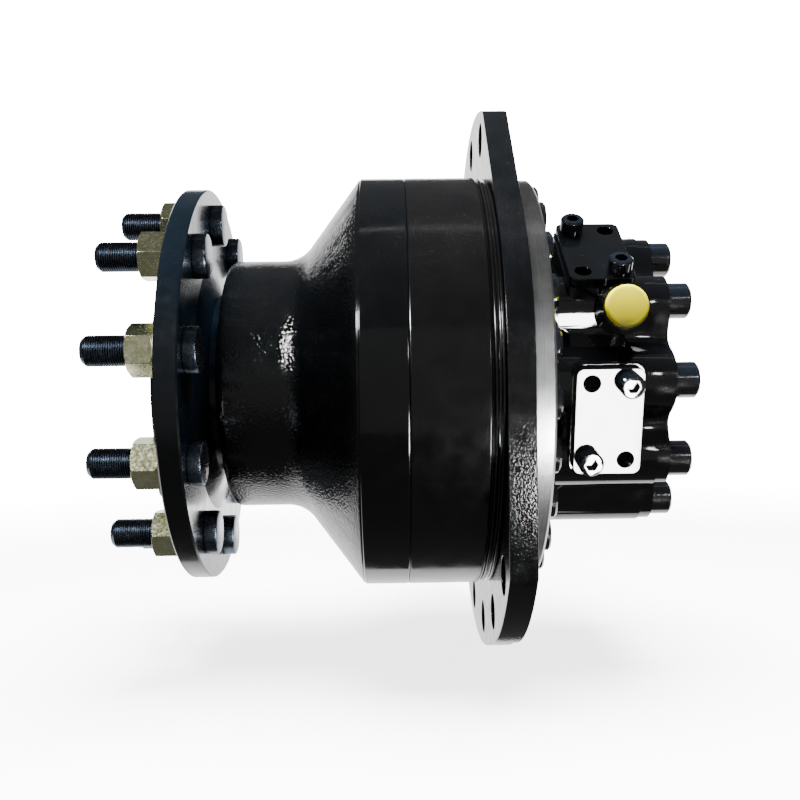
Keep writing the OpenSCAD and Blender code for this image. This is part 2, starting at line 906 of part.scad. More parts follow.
module port_holes(a, gallery) {
    radial(a, port_x) {
        translate([0, 0, 78])
            cylinder(h = pad_h - 77, r = port_bore / 2);
        translate([(gallery[0] + gallery[1]) / 2 + (gallery[0] < 45 ? 1 : 0) - port_x, 0, dist_d / 2 - 3])
            cylinder(h = 30, r = 4);
        for (sx = [-1, 1], sy = [-1, 1])
            translate([sx * port_short / 2, sy * port_long / 2, pad_h - 10.4])
                cylinder(h = 12, r = port_screw_d / 2);
        // recess for the port gasket
        translate([0, 0, pad_h - 2])
            difference() {
                cylinder(h = 3, r = 15.5);
                translate([0, 0, -1])
                    cylinder(h = 5, r = 11.9);
            }
    }
}

// cast outline with a column for each screw, t counts from the middle between two screws
function cover_edge(t) = let (x = cover_count * t, tip = cover_screw_r + column_r)
    (tip + core_r) / 2 - (tip - core_r) / 2 * cos(x) + column_flank * (1 - cos(2 * x));

module cover_outline(cut) {
    polygon([for (i = [0:cover_count * 24 - 1])
        let (t = i * 15 / cover_count)
            polar(cover_edge(t) - cut, cover_turn + 180 / cover_count + t)]);
}

module cover_body() {
    across(cover_x, cover_end - collar_w)
        cover_outline(0);
    // scalloped end collar
    across(cover_end - collar_w - 1, cover_end)
        cover_outline(1);
    // foot of the casting on the pilot ring
    turned([[0, cover_x], [core_r + 14, cover_x], [core_r + 14, cover_x + 5],
        [core_r + 4, cover_x + 13], [core_r - 2, cover_x + 26], [0, cover_x + 26]]);
    port_pad(port_low);
    port_pad(port_high);
    // drain boss, bored square to the near side, and the round cast boss beside it
    translate([drain_x, -drain_y, drain_z])
        rotate([-90, 0, 0])
            cylinder(h = 45, r1 = drain_cap_d / 2 + 1.2, r2 = drain_cap_d / 2 + 6);
    radial(16, port_x - 2)
        translate([0, 0, 70])
            cylinder(h = core_r - 70 + 3, r = 18.5);
}

module distributor_cover() {
    color([0.04, 0.04, 0.045])
    difference() {
        cover_body();
        // bore of the distributor and the spring chamber
        rod(cover_x - 1, dist_end + 4, dist_d / 2 + slip_gap / 2);
        around(cover_count, cover_screw_r, cover_turn)
            rod(cover_x - 1, cover_end + 1, screw_d / 2 + bolt_gap);
        port_holes(port_low, gallery_1);
        port_holes(port_high, gallery_2);
        // the pads' faces are milled past the blanking plates
        for (a = [port_low, port_high])
            radial(a, port_x)
                translate([0, 0, pad_h])
                    linear_extrude(20)
                        rounded(cap_plate_w + 3, cap_plate_l + 3.5, 7);
        // drain thread with its drilling to the spring chamber
        translate([drain_x, -drain_y - 1, drain_z])
            rotate([-90, 0, 0])
                cylinder(h = 16, r = 8.2);
        translate([drain_x, -drain_y + 14, drain_z])
            rotate([-90 - drain_tilt, 0, 0])
                rotate([0, drain_lean, 0])
                    cylinder(h = 41, r = 2.5);
        // rear recess
        turned([[0, cover_end + 1], [58, cover_end + 1], [54, cover_end - 14], [0, cover_end - 14]]);
        // dowel holes
        around(2, pin_r, pin_turn)
            rod(dist_end - 1, dist_end + 14, pin_d / 2);
    }
    // raised centre of the rear recess
    color([0.04, 0.04, 0.045])
    turned([[0, cover_end - 15], [22, cover_end - 15], [20, cover_end - 4], [19, cover_end - 3],
        [0, cover_end - 3]]);
}

module distributor() {
    color([0.55, 0.55, 0.57])
    difference() {
        turned([[dist_bore / 2, dist_face], [dist_flange_d / 2, dist_face],
            [dist_flange_d / 2, plate_x - 0.5], [dist_d / 2, plate_x - 0.5],
            [dist_d / 2, dist_end - 1], [dist_d / 2 - 1, dist_end], [dist_bore / 2, dist_end]]);
        // annular galleries and seal grooves
        for (g = [gallery_1, gallery_2])
            difference() {
                rod(g[0], g[1], dist_d / 2 + 1);
                rod(g[0] - 1, g[1] + 1, dist_d / 2 - 4);
            }
        for (x = [31.5, 46.7, 61.3])
            difference() {
                rod(x, x + 2.6, dist_d / 2 + 1);
                rod(x - 1, x + 4, dist_d / 2 - 2);
            }
        // twelve timed ports, in turn to each gallery
        for (i = [0:2 * lobes - 1])
            rotate([-(cam_turn + (i + 0.5) * 180 / lobes), 0, 0])
                translate([0, -oil_r, 0]) {
                    rod(dist_face - 1, (i % 2 == 0 ? gallery_1[1] : gallery_2[1]) - 1, 3.9);
                    translate([i % 2 == 0 ? 41 : 55, 0, 0])
                        rotate([90, 0, 0])
                            cylinder(h = 12, r = 3.5);
                }
        // relief between the ports on the running face
        difference() {
            rod(dist_face - 1, dist_face + 1.2, dist_flange_d / 2 - 4);
            rod(dist_face - 2, dist_face + 3, oil_r + 7);
        }
        around(2, pin_r, pin_turn)
            rod(dist_end - 10, dist_end + 1, pin_d / 2);
    }
}

module distributor_seals() {
    color([0.1, 0.1, 0.1])
    for (x = [31.6, 46.8, 61.4])
        difference() {
            rod(x, x + 2.4, dist_d / 2 + slip_gap / 2);
            rod(x - 1, x + 4, dist_d / 2 - 2);
        }
}

module distributor_spring() {
    color([0.5, 0.5, 0.5])
    difference() {
        turned([[dist_d / 2 - 16, dist_end], [dist_d / 2 - 3, dist_end + 2],
            [dist_d / 2 - 3, dist_end + 4], [dist_d / 2 - 16, dist_end + 2]]);
        // clearance around the dowels
        around(2, pin_r, pin_turn)
            rod(dist_end - 1, dist_end + 6, pin_d / 2 + 1);
    }
}

module distributor_pins() {
    color([0.6, 0.6, 0.6])
    around(2, pin_r, pin_turn)
        rod(dist_end - 9.5, dist_end + 13.5, pin_d / 2);
}

module stack_orings() {
    color([0.08, 0.08, 0.08])
    for (x = [joint_x, cam_x1, plate_x])
        ring_gasket(oring_big_r, x - oring_squash, oring_squash);
}

module cover_orings() {
    color([0.08, 0.08, 0.08])
    for (x = [0, pilot_ring_w])
        ring_gasket(oring_small_r, x - oring_squash, oring_squash);
}

module cover_screws() {
    color([0.08, 0.08, 0.09])
    around(cover_count, cover_screw_r, cover_turn)
        translate([cover_end, 0, 0])
            socket_screw(screw_d, cover_screw_l, head_d, head_h, 1.6);
}

module stack_screws() {
    color([0.08, 0.08, 0.09])
    around(stack_count, stack_r, stack_turn)
        translate([washer_stack_t, 0, 0])
            socket_screw(screw_d, stack_l, head_d, head_h, 1.6);
}

module stack_washers() {
    color([0.4, 0.4, 0.42])
    around(stack_count, stack_r, stack_turn)
        difference() {
            rod(0, washer_stack_t, head_d / 2 + 0.4);
            rod(-1, washer_stack_t + 1, screw_d / 2 + bolt_gap);
        }
}

module port_plates() {
    color([0.04, 0.04, 0.045])
    for (a = [port_low, port_high])
        radial(a, port_x)
            translate([0, 0, pad_h])
                difference() {
                    linear_extrude(cap_plate_t)
                        rounded(cap_plate_w, cap_plate_l, 5);
                    for (sx = [-1, 1], sy = [-1, 1])
                        translate([sx * port_short / 2, sy * port_long / 2, -1])
                            cylinder(h = cap_plate_t + 2, r = port_screw_d / 2 + bolt_gap);
                }
}

module port_seals() {
    color([0.08, 0.08, 0.08])
    for (a = [port_low, port_high])
        radial(a, port_x)
            translate([0, 0, pad_h - 1])
                rotate_extrude()
                    translate([13.7, 0])
                        circle(1);
}

// each plate is held by two of its four screws, on opposite corners
module port_screws() {
    color([0.1, 0.1, 0.11])
    for (q = [[port_low, 1], [port_high, -1]])
        radial(q[0], port_x)
            for (s = [-1, 1])
                translate([s * port_short / 2, s * q[1] * port_long / 2, pad_h + cap_plate_t])
                    rotate([0, -90, 0])
                        socket_screw(port_screw_d, 16, port_head_d, port_screw_d, 1.2);
}

module drain_cap() {
    color([0.95, 0.85, 0.05])
    translate([drain_x, -drain_y, drain_z])
        rotate([90, 0, 0])
            difference() {
                rotate_extrude()
                    polygon([[0, -10], [7, -10], [8.2, -8], [8.2, 0], [drain_cap_d / 2, 0],
                        [drain_cap_d / 2, 3.2], [drain_cap_d / 2 - 1, 4.2], [drain_cap_d / 2 - 2.2, 4.6],
                        [0, 4.6]]);
                translate([0, 0, -11])
                    cylinder(h = 9, r = 6);
            }
}

output_shaft();
wheel_studs();
wheel_nuts();
wheel_washers();
shaft_seal();
front_cone();
front_rollers();
front_cup();
rear_cone();
rear_rollers();
rear_cup();
lock_washer();
bearing_nut();
cylinder_block();
block_ring();
piston_1();
piston_2();
piston_3();
piston_4();
piston_5();
piston_6();
piston_7();
piston_8();
piston_ring_1();
piston_ring_2();
piston_ring_3();
piston_ring_4();
piston_ring_5();
piston_ring_6();
piston_ring_7();
piston_ring_8();
roller_1();
roller_2();
roller_3();
roller_4();
roller_5();
roller_6();
roller_7();
roller_8();
bearing_housing();
cam_ring();
spacer_ring();
mounting_plate();
pilot_ring();
distributor_cover();
distributor();
distributor_seals();
distributor_spring();
distributor_pins();
stack_orings();
cover_orings();
cover_screws();
stack_screws();
stack_washers();
port_plates();
port_seals();
port_screws();
drain_cap();
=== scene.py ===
"""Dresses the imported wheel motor: studs, finishes, studio and camera. Lengths are in metres."""

import json
import math

import bpy
from mathutils import Matrix, Vector


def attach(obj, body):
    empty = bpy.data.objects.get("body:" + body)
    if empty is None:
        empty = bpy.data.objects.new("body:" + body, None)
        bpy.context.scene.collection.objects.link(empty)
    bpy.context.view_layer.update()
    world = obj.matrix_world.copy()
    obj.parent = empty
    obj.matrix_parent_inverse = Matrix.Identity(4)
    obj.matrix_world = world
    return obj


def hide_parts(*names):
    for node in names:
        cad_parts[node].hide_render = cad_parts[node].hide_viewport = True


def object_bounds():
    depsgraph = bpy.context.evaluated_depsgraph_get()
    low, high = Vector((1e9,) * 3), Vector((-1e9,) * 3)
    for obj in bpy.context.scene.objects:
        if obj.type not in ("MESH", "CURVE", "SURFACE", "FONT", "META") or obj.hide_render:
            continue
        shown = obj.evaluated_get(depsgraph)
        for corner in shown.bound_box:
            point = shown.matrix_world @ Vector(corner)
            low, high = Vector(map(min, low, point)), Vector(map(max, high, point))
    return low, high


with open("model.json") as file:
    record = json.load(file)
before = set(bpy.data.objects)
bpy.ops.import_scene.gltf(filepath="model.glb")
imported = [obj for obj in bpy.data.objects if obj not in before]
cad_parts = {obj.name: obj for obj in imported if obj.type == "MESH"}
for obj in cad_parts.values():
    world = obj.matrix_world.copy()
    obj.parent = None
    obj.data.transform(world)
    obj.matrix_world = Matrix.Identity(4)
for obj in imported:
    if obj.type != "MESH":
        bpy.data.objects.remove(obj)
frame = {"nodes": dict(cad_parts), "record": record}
cad_low, cad_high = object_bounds()
nodes = frame["nodes"]
slot_of = {part["node"]: part["material_slot"] for part in frame["record"]["subparts"]}
MM = 0.001

# wheel studs, as the CAD has them
FLANGE_FRONT = -230.5 * MM
FLANGE_BACK = -215.5 * MM
STUD_CIRCLE = 117 * MM
STUD_COUNT = 10
STUD_TURN = math.radians(10.3)
STUD_RADIUS = 9.87 * MM
SHANK_RADIUS = 10.05 * MM
NUT_FRONT = -251 * MM
STUD_TIP = FLANGE_FRONT - 50 * MM
STUD_HEAD_RADIUS = 15 * MM
STUD_HEAD_HEIGHT = 9 * MM
STUD_HEAD_FOOT = 0.4 * MM
# the stud's ends, as steps along from the end and steps in from the full radius
TIP_CHAMFER = ((0.0, 2.6 * MM), (0.4 * MM, 2.0 * MM), (3 * MM, 0.0))
HEAD_CROWN = ((1.4 * MM, 0.0), (0.5 * MM, 0.5 * MM), (0.0, 1.6 * MM))
THREAD_PITCH = 1.5 * MM
THREAD_DEPTH = 0.85 * MM
THREAD_TURNS = 26
THREAD_STEPS = 40
# the groove's half width in pitches, and its rise above the crests in depths
GROOVE_HALF = 0.47
GROOVE_RISE = 0.35

# the machined rims of the stack, and how far below them a casting's grain starts and is full
BODY_RADIUS = 149 * MM
GRAIN_STARTS = 1.2 * MM
GRAIN_FULL = 2 * MM
MACHINED_GRAIN = 0.03

# meshes
TURNED_STEPS = 64
TURNED_MERGE = 0.002 * MM
NODE_MERGE = 0.004 * MM
FLAT_ANGLE = math.radians(0.2)
EDGE_SEGMENTS = 2
STUD_SOFT = 35

# what all enamel shares, what the plate's has of its own, and what plastic and rubber share
PAINT_TINT_PATCH = 30 * MM
PAINT_GLOSS_PATCH = 12 * MM
ORANGE_PEEL = 2.6 * MM
ENAMEL_IOR = 1.5
COAT_ROUGHNESS = 0.05
PLATE_TINT_PATCH = 20 * MM
PLATE_GLOSS_PATCH = 10 * MM
RIM_FACING, ROLLED_FACING = 0.5, 0.9
ROLLED_RELIEF = 0.1
MOULD_TINT_PATCH = 14 * MM
MOULD_GLOSS_PATCH = 4 * MM
PLASTIC_IOR = 1.5
# the middle range of a noise, which holds nearly all of its values
NOISE_LOW, NOISE_HIGH = 0.35, 0.65

# studio: a round white sweep whose painted glow stands in for its light, dim on its floor up to
# one distance and bright on its wall from another
SWEEP_DROP = 0.3 * MM
SWEEP_RADIUS = 2.6
SWEEP_HEIGHT = 3.2
SWEEP_CURVE = 0.8
SWEEP_SIDES = 128
SWEEP_CURVE_STEPS = 16
SWEEP_SOFT = 60
SWEEP_ROUGHNESS = 0.8
FLOOR_GLOW, WALL_GLOW = 3.4, 18
FLOOR_ENDS, WALL_STARTS = 0.7, 1.7
ROOM_GLOW = 0.12
LIT_FLOOR_HEIGHT = cad_low.z - 0.15 * MM

# the photograph's view, solved from the edges of the flange, rims and screws
CAMERA_PLACE = (-0.0894, -0.70706, -0.00535)
CAMERA_RIGHT = Vector((0.99982, -0.01385, -0.0130))
CAMERA_UP = Vector((0.01316, 0.01172, 0.99984))
CAMERA_FORWARD = Vector((0.0137, 0.99984, -0.0119))
CAMERA_LENS = 42.16
CAMERA_SENSOR = 36


# modelling helpers


def deselect_all():
    for thing in bpy.context.selected_objects:
        thing.select_set(False)


def only(piece):
    """Makes piece the only selected and the active object."""
    deselect_all()
    piece.select_set(True)
    bpy.context.view_layer.objects.active = piece


def profile(name, points):
    """A chain of edges through points, started from a plane that is merged to one vertex."""
    deselect_all()
    bpy.ops.mesh.primitive_plane_add(size=MM, location=(0, 0, 0))
    piece = bpy.context.object
    piece.name = piece.data.name = name
    bpy.ops.object.mode_set(mode="EDIT")
    bpy.ops.mesh.select_all(action="SELECT")
    bpy.ops.mesh.merge(type="CENTER")
    bpy.ops.transform.translate(value=points[0])
    for start, end in zip(points, points[1:]):
        step = Vector(end) - Vector(start)
        bpy.ops.mesh.extrude_region_move(TRANSFORM_OT_translate={"value": step})
    bpy.ops.object.mode_set(mode="OBJECT")
    return piece


def turned(name, points):
    """A closed turned shape from (station, radius) points, whose ends lie on the X axis."""
    piece = profile(name, [(x, 0, r) for x, r in points])
    bpy.ops.object.mode_set(mode="EDIT")
    bpy.ops.mesh.select_all(action="SELECT")
    bpy.ops.mesh.spin(steps=TURNED_STEPS, angle=2 * math.pi, center=(0, 0, 0), axis=(1, 0, 0))
    bpy.ops.mesh.select_all(action="SELECT")
    bpy.ops.mesh.remove_doubles(threshold=TURNED_MERGE)
    bpy.ops.mesh.normals_make_consistent(inside=False)
    bpy.ops.object.mode_set(mode="OBJECT")
    return piece


def apply_modifier(piece, kind, **settings):
    """Adds one modifier with its settings and applies it."""
    only(piece)
    modifier = piece.modifiers.new(kind.lower(), kind)
    for key, value in settings.items():
        setattr(modifier, key, value)
    bpy.ops.object.modifier_apply(modifier=modifier.name)


def cut_away(piece, tool):
    """Takes the tool's volume out of piece and deletes the tool."""
    apply_modifier(piece, "BOOLEAN", operation="DIFFERENCE", object=tool, solver="EXACT")
    bpy.data.objects.remove(tool)


def smooth(piece, angle):
    """Smooth shading, except across edges sharper than angle in degrees."""
    only(piece)
    bpy.ops.object.shade_smooth_by_angle(angle=math.radians(angle))


def placed_copy(piece, name, matrix):
    """A copy with its own mesh, whose place is in that mesh."""
    copy = piece.copy()
    copy.data = piece.data.copy()
    copy.name = copy.data.name = name
    bpy.context.scene.collection.objects.link(copy)
    copy.data.transform(matrix)
    return copy


def rounded_copy(node, name, radius, sharp, soft):
    """A CAD node's copy with a small radius on every edge sharper than sharp degrees.

    Its vertices are merged, and it is shaded smooth across edges below soft degrees.
    """
    copy = placed_copy(nodes[node], name, Matrix())
    only(copy)
    bpy.ops.object.mode_set(mode="EDIT")
    bpy.ops.mesh.select_all(action="SELECT")
    bpy.ops.mesh.remove_doubles(threshold=NODE_MERGE)
    bpy.ops.mesh.dissolve_limited(angle_limit=FLAT_ANGLE)
    bpy.ops.mesh.normals_make_consistent(inside=False)
    bpy.ops.object.mode_set(mode="OBJECT")
    smooth(copy, soft)
    edge = copy.modifiers.new("edge_radius", "BEVEL")
    edge.width = radius
    edge.segments = EDGE_SEGMENTS
    edge.limit_method = "ANGLE"
    edge.angle_limit = math.radians(sharp)
    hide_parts(node)
    return copy


# material helpers


def linear(code):
    """Linear RGBA of an sRGB hex colour."""
    parts = [int(code[i : i + 2], 16) / 255 for i in (1, 3, 5)]
    return [c / 12.92 if c <= 0.04045 else ((c + 0.055) / 1.055) ** 2.4 for c in parts] + [1.0]


def add(tree, kind, settings=None, links=None):
    """Adds one node with its settings and its incoming links."""
    made = tree.nodes.new(kind)
    for key, value in (settings or {}).items():
        if isinstance(key, int) or key in made.inputs:
            made.inputs[key].default_value = value
        else:
            setattr(made, key, value)
    for key, source in (links or {}).items():
        tree.links.new(source, made.inputs[key])
    return made


def new_material(name):
    """An empty material: itself, its tree, its shader and its Object coordinates."""
    material = bpy.data.materials.new(name)
    material.use_nodes = True
    tree = material.node_tree
    tree.nodes.clear()
    shader = add(tree, "ShaderNodeBsdfPrincipled")
    add(tree, "ShaderNodeOutputMaterial", links={"Surface": shader.outputs[0]})
    place = add(tree, "ShaderNodeTexCoord").outputs["Object"]
    return material, tree, shader, place


def noise(tree, place, size, detail, roughness=0.5):
    """Fine to coarse unevenness; size is its grain in metres."""
    settings = {"Scale": 1 / size, "Detail": detail, "Roughness": roughness}
    return add(tree, "ShaderNodeTexNoise", settings, {"Vector": place}).outputs[0]


def spread(tree, source, low, high, start=NOISE_LOW, end=NOISE_HIGH):
    """Maps start to end, by default a noise's middle range, to low and high."""
    settings = {"From Min": start, "From Max": end, "To Min": low, "To Max": high}
    return add(tree, "ShaderNodeMapRange", settings, {"Value": source}).outputs[0]


def times(tree, first, second):
    """The product of two values."""
    return add(tree, "ShaderNodeMath", {"operation": "MULTIPLY"}, {0: first, 1: second}).outputs[0]


def length(tree, vector):
    """The length of a vector."""
    measured = add(tree, "ShaderNodeVectorMath", {"operation": "LENGTH"}, {0: vector})
    return measured.outputs["Value"]


def two_colours(tree, factor, first, second):
    """Mixes two hex colours; a Mix node's colours are inputs 6 and 7 and output 2."""
    settings = {"data_type": "RGBA", 6: linear(first), 7: linear(second)}
    return add(tree, "ShaderNodeMix", settings, {0: factor}).outputs[2]


def relief(tree, height, depth, below=None):
    """Bump of a real depth in metres, on top of the normal below it."""
    links = {"Height": height}
    if below is not None:
        links["Normal"] = below
    return add(tree, "ShaderNodeBump", {"Strength": 1.0, "Distance": depth}, links).outputs[0]


def shaft_place(tree, place):
    """A point's station along the shaft and its distance from the shaft's axis."""
    split = add(tree, "ShaderNodeSeparateXYZ", links={0: place})
    across = {1: split.outputs[1], 2: split.outputs[2]}
    across = add(tree, "ShaderNodeCombineXYZ", links=across).outputs[0]
    return split.outputs[0], length(tree, across)


def surface(tree, shader, colour, gloss, normal):
    """Joins the three patterns of a finish to its shader."""
    for name, source in (("Base Color", colour), ("Roughness", gloss), ("Normal", normal)):
        tree.links.new(source, shader.inputs[name])


def paint(name, colours, roughness, grain, grain_depth, peel_depth, coat=0.0, machined=None):
    """Sprayed enamel with orange peel over a grain, which ends at a machined radius."""
    material, tree, shader, place = new_material(name)
    tint = spread(tree, noise(tree, place, PAINT_TINT_PATCH, 3), 0, 1)
    gloss = spread(tree, noise(tree, place, PAINT_GLOSS_PATCH, 3), *roughness)
    bumps = noise(tree, place, grain, 1, 0.4)
    if machined:
        # the grain's middle height is the machined rim's, so that no step stands between them
        distance = shaft_place(tree, place)[1]
        full, starts = machined - GRAIN_FULL, machined - GRAIN_STARTS
        share = spread(tree, distance, 1.0, MACHINED_GRAIN, full, starts)
        bumps = times(tree, spread(tree, bumps, -0.5, 0.5, 0, 1), share)
    under = relief(tree, bumps, grain_depth)
    over = relief(tree, noise(tree, place, ORANGE_PEEL, 1), peel_depth, under)
    shader.inputs["IOR"].default_value = ENAMEL_IOR
    shader.inputs["Coat Weight"].default_value = coat
    shader.inputs["Coat Roughness"].default_value = COAT_ROUGHNESS
    surface(tree, shader, two_colours(tree, tint, *colours), gloss, over)
    return material


def flame_cut_paint(name, colours, roughness, pebble, pebble_depth):
    """Enamel on burnt plate: nearly smooth on its rolled faces, pebbly on its flame-cut rim."""
    material, tree, shader, place = new_material(name)
    normal = add(tree, "ShaderNodeTexCoord").outputs["Normal"]
    along = add(tree, "ShaderNodeSeparateXYZ", links={0: normal}).outputs[0]
    facing = add(tree, "ShaderNodeMath", {"operation": "ABSOLUTE"}, {0: along}).outputs[0]
    # the rolled faces look along the shaft
    rim = spread(tree, facing, 1.0, ROLLED_RELIEF, RIM_FACING, ROLLED_FACING)
    pebbles = noise(tree, place, pebble, 2)
    tint = spread(tree, noise(tree, place, PLATE_TINT_PATCH, 3), 0, 1)
    gloss = spread(tree, noise(tree, place, PLATE_GLOSS_PATCH, 3), *roughness)
    shader.inputs["IOR"].default_value = ENAMEL_IOR
    bumps = relief(tree, times(tree, pebbles, rim), pebble_depth)
    surface(tree, shader, two_colours(tree, tint, *colours), gloss, bumps)
    return material


def metal(name, colours, roughness, patch, grain, grain_depth):
    """Bare or plated metal: patches of tone over a fine surface grain."""
    material, tree, shader, place = new_material(name)
    tint = spread(tree, noise(tree, place, patch, 4, 0.6), 0, 1)
    gloss = spread(tree, noise(tree, place, patch / 3, 3), *roughness)
    bumps = relief(tree, noise(tree, place, grain, 2), grain_depth)
    shader.inputs["Metallic"].default_value = 1.0
    surface(tree, shader, two_colours(tree, tint, *colours), gloss, bumps)
    return material


def turned_steel(name, colours, roughness, feed, feed_depth, smear):
    """Turned steel: fine rings from the lathe's feed, along the rim and across the face."""
    material, tree, shader, place = new_material(name)
    station, radius = shaft_place(tree, place)
    spiral = add(tree, "ShaderNodeMath", {"operation": "ADD"}, {0: station, 1: radius}).outputs[0]
    line = add(tree, "ShaderNodeCombineXYZ", links={0: spiral}).outputs[0]
    rings = noise(tree, line, feed, 3, 0.7)
    tint = spread(tree, noise(tree, place, smear, 4, 0.6), 0, 1)
    gloss = spread(tree, rings, *roughness)
    shader.inputs["Metallic"].default_value = 1.0
    colour = two_colours(tree, tint, *colours)
    surface(tree, shader, colour, gloss, relief(tree, rings, feed_depth))
    return material


def moulded(name, colours, roughness, grain, grain_depth, shine=0.5):
    """Moulded plastic or rubber with a fine mould grain."""
    material, tree, shader, place = new_material(name)
    tint = spread(tree, noise(tree, place, MOULD_TINT_PATCH, 2), 0, 1)
    gloss = spread(tree, noise(tree, place, MOULD_GLOSS_PATCH, 2), *roughness)
    bumps = relief(tree, noise(tree, place, grain, 2), grain_depth)
    shader.inputs["IOR"].default_value = PLASTIC_IOR
    shader.inputs["Specular IOR Level"].default_value = shine
    surface(tree, shader, two_colours(tree, tint, *colours), gloss, bumps)
    return material


# finishes, by the record's material slots; a grain that is finer on the real piece is drawn just
# coarse enough to show

FINISHES = {
    # satin blue-black enamel: the flange looks dark steel blue with soft reflections
    "satin_black_paint": paint(
        "satin_enamel_forging",
        ("#03080d", "#050b12"),
        roughness=(0.16, 0.24),
        grain=1.1 * MM,
        grain_depth=0.02 * MM,
        peel_depth=0.01 * MM,
    ),
    # gloss black enamel over sand-cast iron: glints break up on the grain, which is drawn coarser
    # than the sand's
    "casting_black_paint": paint(
        "gloss_enamel_cast_iron",
        ("#040506", "#060708"),
        roughness=(0.08, 0.16),
        grain=1.5 * MM,
        grain_depth=0.4 * MM,
        peel_depth=0.01 * MM,
        machined=BODY_RADIUS,
    ),
    # gloss black enamel on turned steel: long clean reflections
    "body_black_paint": paint(
        "gloss_enamel_turned_steel",
        ("#060607", "#090909"),
        roughness=(0.14, 0.2),
        grain=5 * MM,
        grain_depth=0.012 * MM,
        peel_depth=0.01 * MM,
    ),
    # gloss black enamel on burnt plate: calm faces and a rim that glitters on its pebbles
    "plate_black_paint": flame_cut_paint(
        "enamel_flame_cut_plate",
        ("#040506", "#07080a"),
        roughness=(0.14, 0.22),
        pebble=1.4 * MM,
        pebble_depth=0.22 * MM,
    ),
    # deep gloss enamel on a fine casting: the cover mirrors its surroundings
    "gloss_black_paint": paint(
        "deep_gloss_enamel_casting",
        ("#030405", "#050608"),
        roughness=(0.06, 0.12),
        grain=1.1 * MM,
        grain_depth=0.02 * MM,
        peel_depth=0.012 * MM,
        coat=0.3,
    ),
    # bare turned steel: bright bands crossed by lathe rings, drawn at twice a real fine feed
    "bare_turned_steel": turned_steel(
        "turned_bare_steel",
        ("#aeafb0", "#c0c0c0"),
        roughness=(0.24, 0.36),
        feed=0.5 * MM,
        feed_depth=0.02 * MM,
        smear=9 * MM,
    ),
    # yellow chromate over zinc: olive gold, uneven from the dip
    "yellow_zinc": metal(
        "yellow_chromate_zinc",
        ("#cdcf9f", "#e2e4bf"),
        roughness=(0.16, 0.28),
        patch=6 * MM,
        grain=0.7 * MM,
        grain_depth=0.012 * MM,
    ),
    # clear passivated zinc: pale, bright washers
    "clear_zinc": metal(
        "clear_chromate_zinc",
        ("#deddd4", "#eae9e3"),
        roughness=(0.28, 0.4),
        patch=8 * MM,
        grain=0.8 * MM,
        grain_depth=0.012 * MM,
    ),
    # blackened, oiled steel: dark blue-grey threads with thin bright crests
    "black_oxide_stud": metal(
        "oiled_black_steel_stud",
        ("#3c434c", "#525a64"),
        roughness=(0.22, 0.36),
        patch=5 * MM,
        grain=0.6 * MM,
        grain_depth=0.008 * MM,
    ),
    # cap screws that were sprayed over with the cover: navy black with a bright rim
    "black_oxide_screw": paint(
        "gloss_enamel_cap_screw",
        ("#05080c", "#090e15"),
        roughness=(0.08, 0.15),
        grain=1.2 * MM,
        grain_depth=0.03 * MM,
        peel_depth=0.01 * MM,
        coat=1.0,
    ),
    # moulded nitrile: dull black
    "seal_rubber": moulded(
        "nitrile_rubber",
        ("#0d0d0e", "#151516"),
        roughness=(0.5, 0.65),
        grain=0.8 * MM,
        grain_depth=0.02 * MM,
    ),
    # moulded soft polyethylene: bright, slightly waxy yellow
    "yellow_plastic": moulded(
        "yellow_polyethylene",
        ("#ecdc00", "#f0e200"),
        roughness=(0.42, 0.52),
        grain=1.5 * MM,
        grain_depth=0.01 * MM,
        shine=0.05,
    ),
    # machined cast iron: mid grey with a fine grain
    "cast_distributor": metal(
        "machined_cast_iron",
        ("#6d6e70", "#7e7f81"),
        roughness=(0.34, 0.48),
        patch=10 * MM,
        grain=0.7 * MM,
        grain_depth=0.02 * MM,
    ),
    # blued spring steel: dark blue-grey with a soft sheen
    "spring_steel": metal(
        "blued_spring_steel",
        ("#3a4452", "#55606e"),
        roughness=(0.25, 0.36),
        patch=8 * MM,
        grain=0.7 * MM,
        grain_depth=0.008 * MM,
    ),
    # ground bearing steel: near mirror
    "ground_steel": metal(
        "ground_bearing_steel",
        ("#b9bbbe", "#c9cbcd"),
        roughness=(0.12, 0.22),
        patch=12 * MM,
        grain=0.5 * MM,
        grain_depth=0.004 * MM,
    ),
    # machined ductile iron of the cylinder block: darker grey, dull between its cuts
    "machined_block": metal(
        "machined_ductile_iron",
        ("#5c5e62", "#6c6e72"),
        roughness=(0.3, 0.42),
        patch=10 * MM,
        grain=0.8 * MM,
        grain_depth=0.015 * MM,
    ),
}


def finish_nodes():
    """Gives each CAD node the finish of its slot in the record."""
    for name, thing in nodes.items():
        for slot in thing.material_slots:
            slot.material = FINISHES[slot_of[name]]
    # the washers of the stack were sprayed over with their screws
    for slot in nodes["stack_washers"].material_slots:
        slot.material = FINISHES["black_oxide_screw"]


def dress(piece, body, slot, *more):
    """Rides a new piece on its body, and gives it its slot's finish and any further ones."""
    piece.data.materials.clear()
    for finish in (slot, *more):
        piece.data.materials.append(FINISHES[finish])
    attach(piece, body)


# pieces

